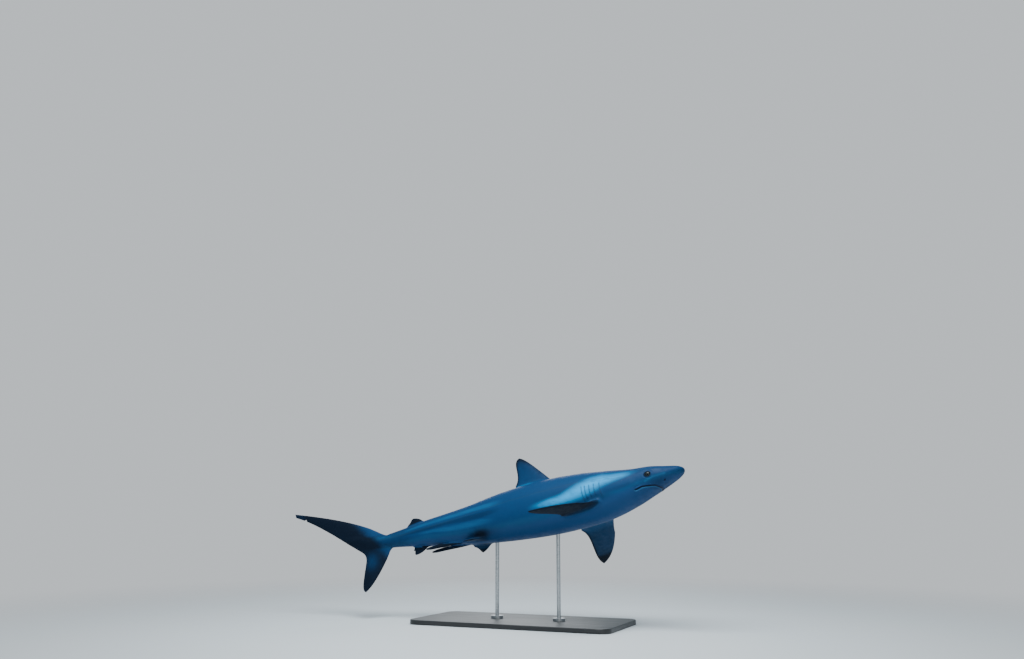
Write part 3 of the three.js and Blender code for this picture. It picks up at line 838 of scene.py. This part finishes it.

# A pale band over the shoulder that also carries a painted highlight, where light from above falls on the flank.
shoulder_band_and_highlight = (1 - off_body) * band(
    [9, 12.3, 16, 18, 20.5, 23, 25.4, 28, 31, 37],
    [1.7, 1.6, 1.4, 1.4, 0.9, 0.2, -0.4, -0.9, -1.0, -1.2],
    [0.5, 1.1, 1.7, 2.3, 2.7, 2.8, 2.3, 1.6, 1.3, 0.7],
    core=0.05,
)
shoulder_band_and_highlight *= np.interp(s, [9, 14, 18, 21, 26, 33, 37], [0.45, 0.6, 0.85, 1, 1, 0.75, 0.5])
# A thin painted highlight along the back behind the first dorsal fin.
shoulder_band_and_highlight = np.maximum(shoulder_band_and_highlight, 0.6 * step(s, 35.5, 38.5) * (1 - step(s, 41.6, 43.5)) * bump(z - 6.4, 0.4))
# Pale streaks along the flank.
pale_streak_and_highlight = (1 - off_body) * np.maximum.reduce([
    0.8 * band([42, 50.9, 57.4, 63.8, 73], [2.2, 2.3, 2.1, 1.8, 0.9], [1.1, 0.8, 0.7, 0.6, 0.3]),
    0.7 * band([44, 48.9, 53.1, 57.3, 61.6, 68], [-1.7, -1.3, -1.1, -0.9, -0.4, -0.2], [0.7, 1.0, 1.0, 0.8, 0.5, 0.3]),
])
# A painted highlight along the top of the tail stalk, where light from above falls.
pale_streak_and_highlight = np.maximum(pale_streak_and_highlight, 1.0 * bump(s - 74.6, 4.6) * bump(z - 0.95 - 0.02 * (s - 75), 0.55) * (np.abs(y) > 0.3))
# Darker bands on the flank and behind the eye, and patches of painted shade: below the gill slits, above the pelvic
# fins and under the snout before the mouth.
dark_bands_and_shade = (1 - off_body) * np.maximum.reduce([
    band([42, 48.1, 53, 57.2, 63.7, 73], [0.4, 0.3, 0.4, 0.6, 0.5, 0.3], [0.7, 1.0, 1.0, 0.7, 0.6, 0.4]),
    0.5 * band([9, 12, 15, 17, 19, 26], [-0.3, -1.0, -1.4, -1.6, -2.2, -3.4], [0.3, 0.6, 0.7, 0.8, 0.9, 0.6]),
    0.9 * patch(19.6, -2.3, 3.2, 0.8),
    0.9 * patch(48.3, -3.5, 3.4, 1.1),
    0.6 * patch(5.6, -1.55, 2.6, 0.75),
])

# Dusky fins, tips and margins, and painted shade in several places.
out = (np.abs(y) - 4) / math.cos(math.radians(11.7))
dusky_and_shade = paired * (s < 40) * (0.45 * step(out, 0.5, 5) + 0.6 * step(out, 13.2, 16))
# Painted shade: the right pectoral fin is darker all over, as it lies in its own shade.
dusky_and_shade += paired * (s < 40) * (y < 0) * 0.6
# Pelvic fins dusky, darker outwards; their darkness is partly painted shade on their undersides.
dusky_and_shade += paired * (s > 40) * (0.55 + 0.45 * step(np.abs(y), 3.0, 4.6))
dusky_and_shade += single * (s < 50) * (0.34 + 0.3 * step(z, 11.2, 13.8))
dusky_and_shade += single * (s > 60) * (s < 72) * 0.97
tail = step(s - 0.9 * z, 75.5, 80.5)
pale_tail = 0.15 * step(s, 96.3, 98) + 0.5 * bump(s - 79, 2.0) * bump(z + 4.2, 2.6)
dusky_and_shade += tail * (0.93 - pale_tail)
claspers = (np.abs(y) < 2.2) * (s > 54) * (s < 66) * (z < along(BELLY, s) - 0.05)
# Painted shade on the flank just above the pelvic fins.
dusky_and_shade += 0.9 * (1 - off_body) * (np.abs(y) > 0.8) * bump(s - 49.6, 2.6) * bump(z + 3.7, 1.1)
dusky_and_shade += (1 - off_body) * (0.36 * step(s, 62, 74) + 0.2 * (1 - step(s, 11, 16)))
# Painted shade and light on the claspers: dark underneath, pale on their lit tops.
dusky_and_shade += claspers * (0.85 - 0.75 * step(normals[:, 2], -0.2, 0.6))
for name, plane, wide in (
    ("pectoral", pectoral_plane(1), 9),
    ("pectoral", pectoral_plane(-1), 9),
    ("first_dorsal", upright, 10),
):
    dusky_and_shade += 0.5 * off_body * bump(from_line(here, edge(EDGES[name][1], plane)), wide)
dusky_and_shade += 0.3 * off_body * bump(from_line(here, edge(EDGES["first_dorsal"][0], upright)), 14)
# Painted shade of the lids: a dark margin round the eye.
from_eye = np.hypot((s - EYE["s"] - 0.1) * 20, (z - EYE["z"]) * 24.5)
dusky_and_shade += 0.8 * (1 - step(from_eye, 12.5, 19)) * (np.abs(y) > 2)

to_mouth = from_line(here, mouth_line)
lip = bump(to_mouth - 5.5, 3.2) * (z < mouth_height(s)) * (s > 5) * (s < 12)
upper_lip = bump(to_mouth - 1.5, 4.5) * (z >= mouth_height(s) - 0.02) * (s > 5) * (s < 12)
# Painted shade under the upper lip, which darkens the gap of the mouth.
dusky_and_shade += 0.85 * upper_lip
# A painted highlight along the folds of the face, in front of the eye.
fold_highlight = np.maximum.reduce([bump(from_line(here, line) - 1, 5) for line in folds])
# The walls inside the mouth and gill slits: the flesh's red, darkened to near black as painted shade deep in the
# openings.
cut = step(-clear, 2.6, 4.2) * (((s > 3) & (s < 12.5)) | ((s > 16.8) & (s < 23.4)))
gill_shade = np.maximum.reduce([bump(from_line(here, line), 3.0) for line in gill_lines])
face = (1 - step(s, 9, 14)) * step(s, 0, 1)
flank = bump(np.minimum.reduce([from_line(here, line) for line in flank_lines]), 2.2)
MASKS = {"back": back, "shoulder_band_and_highlight": shoulder_band_and_highlight, "pale_streak_and_highlight": pale_streak_and_highlight, "dark_bands_and_shade": dark_bands_and_shade, "dusky_and_shade": np.clip(dusky_and_shade, 0, 1),
         "lip": lip, "fold_highlight": fold_highlight, "cut": cut, "gill_shade": gill_shade, "face": face, "flank": flank}
for name, values in MASKS.items():
    layer = skin.data.attributes.new(name, "FLOAT", "POINT")
    layer.data.foreach_set("value", np.asarray(values, np.float32))
print("masks:", ", ".join(MASKS))

# %% Carry the skin into the pose
move_points(skin, posed(here))
bpy.ops.object.select_all(action="DESELECT")
skin.select_set(True)
bpy.context.view_layer.objects.active = skin
bpy.ops.object.shade_smooth_by_angle(angle=math.radians(38))
print("skin:", sum(len(face.vertices) - 2 for face in skin.data.polygons), "triangles")

# %% [markdown]
# ## Skin
# Close to, the skin is fine sandpaper: flat scales far smaller than a millimetre. From a step back it is satin,
# steel blue on the back, with soft mottling, a few pale scratches and dark pores on the snout. The belly is a
# dark blue as painted shade under the body, and the masks lay painted highlights and painted shade into the
# colour. The masks choose the colour, and noise breaks up every border, so that none looks sprayed through a stencil.


# %% Skin material
def mask(material, name):
    return node(material, "ShaderNodeAttribute", attribute_name=name).outputs["Fac"]


hide, shader = fresh_material("shark_hide")
lumps = noise(hide, 7, 3)
mottle = noise(hide, 45, 5, 0.65)
grain = noise(hide, 420, 2)
ragged = maths(hide, "ADD", maths(hide, "MULTIPLY", maths(hide, "SUBTRACT", lumps, 0.5), 0.5),
               maths(hide, "MULTIPLY", maths(hide, "SUBTRACT", mottle, 0.5), 0.35))
above = maths(hide, "ADD", mask(hide, "back"), ragged)
# From the belly through the flank to the back: the belly is a dark blue, not the animal's white, as painted shade
# under the body.
colour = mix(hide, spread(hide, above, -0.05, 0.45), (0.010, 0.055, 0.160), (0.004, 0.056, 0.150))
colour = mix(hide, spread(hide, above, 0.45, 1.1), colour, (0.002, 0.038, 0.118))
drawn_out = noise(hide, 10, 4, 0.6, (0.35, 1.6, 1.6))
# Pale streaks on the flank, and the painted highlight on the tail stalk.
pale = maths(hide, "MULTIPLY", mask(hide, "pale_streak_and_highlight"), spread(hide, drawn_out, 0.25, 0.62, 0.35, 1.0))
colour = mix(hide, maths(hide, "MULTIPLY", pale, 0.34), colour, (0.015, 0.19, 0.42))
# The darker bands and the painted shade.
deep = maths(hide, "MULTIPLY", mask(hide, "dark_bands_and_shade"), spread(hide, drawn_out, 0.2, 0.6, 0.6, 1.0))
colour = mix(hide, maths(hide, "MULTIPLY", deep, 0.75), colour, (0.001, 0.020, 0.064))
blotch = noise(hide, 28, 4, 0.6, (0.6, 1.3, 1.3))
# The shoulder's pale band and its painted highlight, in bright cyan.
bright = maths(hide, "MULTIPLY", mask(hide, "shoulder_band_and_highlight"), spread(hide, blotch, 0.22, 0.55, 0.5, 1.0))
colour = mix(hide, maths(hide, "MULTIPLY", bright, 0.92), colour, (0.004, 0.40, 0.84))
colour = mix(hide, maths(hide, "MULTIPLY", mask(hide, "gill_shade"), 0.8), colour, (0.002, 0.035, 0.095))
# The painted highlight along the folds.
colour = mix(hide, maths(hide, "MULTIPLY", mask(hide, "fold_highlight"), 0.16), colour, (0.02, 0.22, 0.42))
colour = mix(hide, maths(hide, "MULTIPLY", mask(hide, "lip"), 0.5), colour, (0.05, 0.20, 0.38))
# Dusky fins and margins, and the painted shade.
dusk_and_shade_share = spread(hide, maths(hide, "ADD", mask(hide, "dusky_and_shade"), maths(hide, "MULTIPLY", ragged, 0.5)), 0.05, 0.95)
colour = mix(hide, maths(hide, "MULTIPLY", dusk_and_shade_share, 0.95), colour, (0.0008, 0.0042, 0.0115))
fleck = spread(hide, noise(hide, 190, 2, 0.5), 0.68, 0.75)
colour = mix(hide, maths(hide, "MULTIPLY", fleck, 0.05), colour, (0.30, 0.45, 0.52))
pores = node(hide, "ShaderNodeTexVoronoi", Scale=150)
link(hide, node(hide, "ShaderNodeTexCoord").outputs["Object"], pores.inputs["Vector"])
pore = maths(hide, "MULTIPLY", spread(hide, pores.outputs["Distance"], 0.06, 0.11, 1.0, 0.0), mask(hide, "face"))
colour = mix(hide, maths(hide, "MULTIPLY", pore, 0.4), colour, (0.01, 0.025, 0.04))
colour = mix(hide, maths(hide, "MULTIPLY", mask(hide, "flank"), 0.35), colour, (0.02, 0.05, 0.08))
# The openings' near-black red, painted shade deep inside them.
colour = mix(hide, mask(hide, "cut"), colour, (0.022, 0.008, 0.010))
link(hide, colour, shader.inputs["Base Color"])
satin = spread(hide, mottle, 0.3, 0.7, 0.44, 0.60)
link(hide, maths(hide, "ADD", satin, maths(hide, "MULTIPLY", dusk_and_shade_share, 0.22)), shader.inputs["Roughness"])
shader.inputs["Specular IOR Level"].default_value = 0.13
relief = maths(hide, "ADD", maths(hide, "MULTIPLY", mottle, 0.5), maths(hide, "MULTIPLY", grain, 0.35))
relief = maths(hide, "SUBTRACT", relief, maths(hide, "MULTIPLY", pore, 0.6))
relief = maths(hide, "SUBTRACT", relief, maths(hide, "MULTIPLY", mask(hide, "flank"), 0.5))
roughen(hide, shader, relief, 0.0012, 0.7)
skin.data.materials.clear()
skin.data.materials.append(hide)
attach(skin, "root")
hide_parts("head", "lower_jaw", "gill_region", "trunk", "tail_stalk", "first_dorsal_fin",
            "second_dorsal_fin", "anal_fin", "pectoral_fin_left", "pectoral_fin_right", "pelvic_fin_left",
            "pelvic_fin_right", "clasper_left", "clasper_right", "tail_fin_upper_lobe", "tail_fin_lower_lobe")

# %% [markdown]
# ## Eyes
# The eye is a firm ball sunk in its socket, with a clear bulging front. Each one is its own piece, as a
# glass eye is on a mounted animal. Its colour is laid out on the ball itself: an upright oval pupil, an iris of
# dark olive silver, a black rim, and the pale third lid that peeps over the lower edge.

# %% Eyes
eye_glass, shader = fresh_material("wet_eye")
place = node(eye_glass, "ShaderNodeAttribute", attribute_name="on_eye")
apart = node(eye_glass, "ShaderNodeSeparateXYZ")
link(eye_glass, place.outputs["Vector"], apart.inputs[0])
wide, tall = apart.outputs["X"], apart.outputs["Z"]
from_middle = maths(eye_glass, "SQRT", maths(eye_glass, "ADD", maths(eye_glass, "POWER", wide, 2.0), maths(eye_glass, "POWER", tall, 2.0)))
narrow = maths(eye_glass, "POWER", maths(eye_glass, "DIVIDE", wide, 0.17), 2.0)
high = maths(eye_glass, "POWER", maths(eye_glass, "DIVIDE", tall, 0.40), 2.0)
pupil = spread(eye_glass, maths(eye_glass, "ADD", narrow, high), 0.85, 1.1, 1.0, 0.0)
iris = mix(eye_glass, spread(eye_glass, noise(eye_glass, 700, 4, 0.7), 0.35, 0.65), (0.006, 0.009, 0.011), (0.020, 0.027, 0.029))
colour = mix(eye_glass, spread(eye_glass, from_middle, 0.55, 0.66), iris, (0.006, 0.008, 0.011))
colour = mix(eye_glass, pupil, colour, (0.002, 0.002, 0.003))
lid = spread(eye_glass, maths(eye_glass, "SUBTRACT", maths(eye_glass, "MULTIPLY", tall, -1.0), maths(eye_glass, "MULTIPLY", maths(eye_glass, "POWER", wide, 2.0), -0.3)), 0.60, 0.64)
colour = mix(eye_glass, lid, colour, (0.02, 0.045, 0.065))
link(eye_glass, colour, shader.inputs["Base Color"])
shader.inputs["Roughness"].default_value = 0.10
shader.inputs["Specular IOR Level"].default_value = 0.15

for side, hand in HANDS.items():
    centre, turn = eye_place(hand)
    eye = ball(f"eye_ball_{side}", centre, EYE["along"], EYE["deep"], EYE["up"], turn, segments=64)
    flat = (points_of(eye) - centre) @ np.array(Matrix.Rotation(turn, 3, "Z")) / (EYE["along"] / 1000)
    layer = eye.data.attributes.new("on_eye", "FLOAT_VECTOR", "POINT")
    layer.data.foreach_set("vector", np.asarray(flat, np.float32).ravel())
    move_points(eye, posed(points_of(eye)))
    in_edit_mode(eye, lambda: bpy.ops.mesh.normals_make_consistent(inside=False))
    bpy.ops.object.shade_smooth()
    eye.data.materials.append(eye_glass)
    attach(eye, "root")
    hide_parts(f"eye_{side}")
    print(eye.name, "at", [round(float(c), 3) for c in posed(centre[None])[0]])

# %% [markdown]
# ## Stand
# The stand is a board painted satin black with two steel rods and their collars. The solids already have the
# right shape, so only their finish is made here: brushed steel has fine scratches round the rod, and the paint
# shows a trace of wood grain and a little dust.

# %% Stand finishes
black, shader = fresh_material("satin_black_board")
grain = noise(black, 18, 5, 0.6, (0.25, 6, 6))
dust = spread(black, noise(black, 6, 4, 0.6), 0.5, 0.8)
colour = mix(black, spread(black, grain, 0.3, 0.7), (0.011, 0.011, 0.012), (0.020, 0.020, 0.021))
colour = mix(black, maths(black, "MULTIPLY", dust, 0.10), colour, (0.16, 0.16, 0.16))
link(black, colour, shader.inputs["Base Color"])
link(black, spread(black, grain, 0.3, 0.7, 0.34, 0.46), shader.inputs["Roughness"])
roughen(black, shader, grain, 0.0006, 0.5)

steel, shader = fresh_material("brushed_steel")
brushed = noise(steel, 60, 3, 0.6, (1, 1, 40))
colour = mix(steel, spread(steel, brushed, 0.3, 0.7), (0.40, 0.41, 0.42), (0.62, 0.63, 0.64))
link(steel, colour, shader.inputs["Base Color"])
shader.inputs["Metallic"].default_value = 1.0
link(steel, spread(steel, brushed, 0.3, 0.7, 0.24, 0.40), shader.inputs["Roughness"])
roughen(steel, shader, brushed, 0.0002, 0.5)

for name, finish in {"stand_base": black, "stand_rod_front": steel, "stand_rod_rear": steel,
                     "stand_collar_front": steel, "stand_collar_rear": steel}.items():
    piece = frame["nodes"][name]
    for holder in piece.material_slots:
        holder.material = finish
    print(name, "is", finish.name)
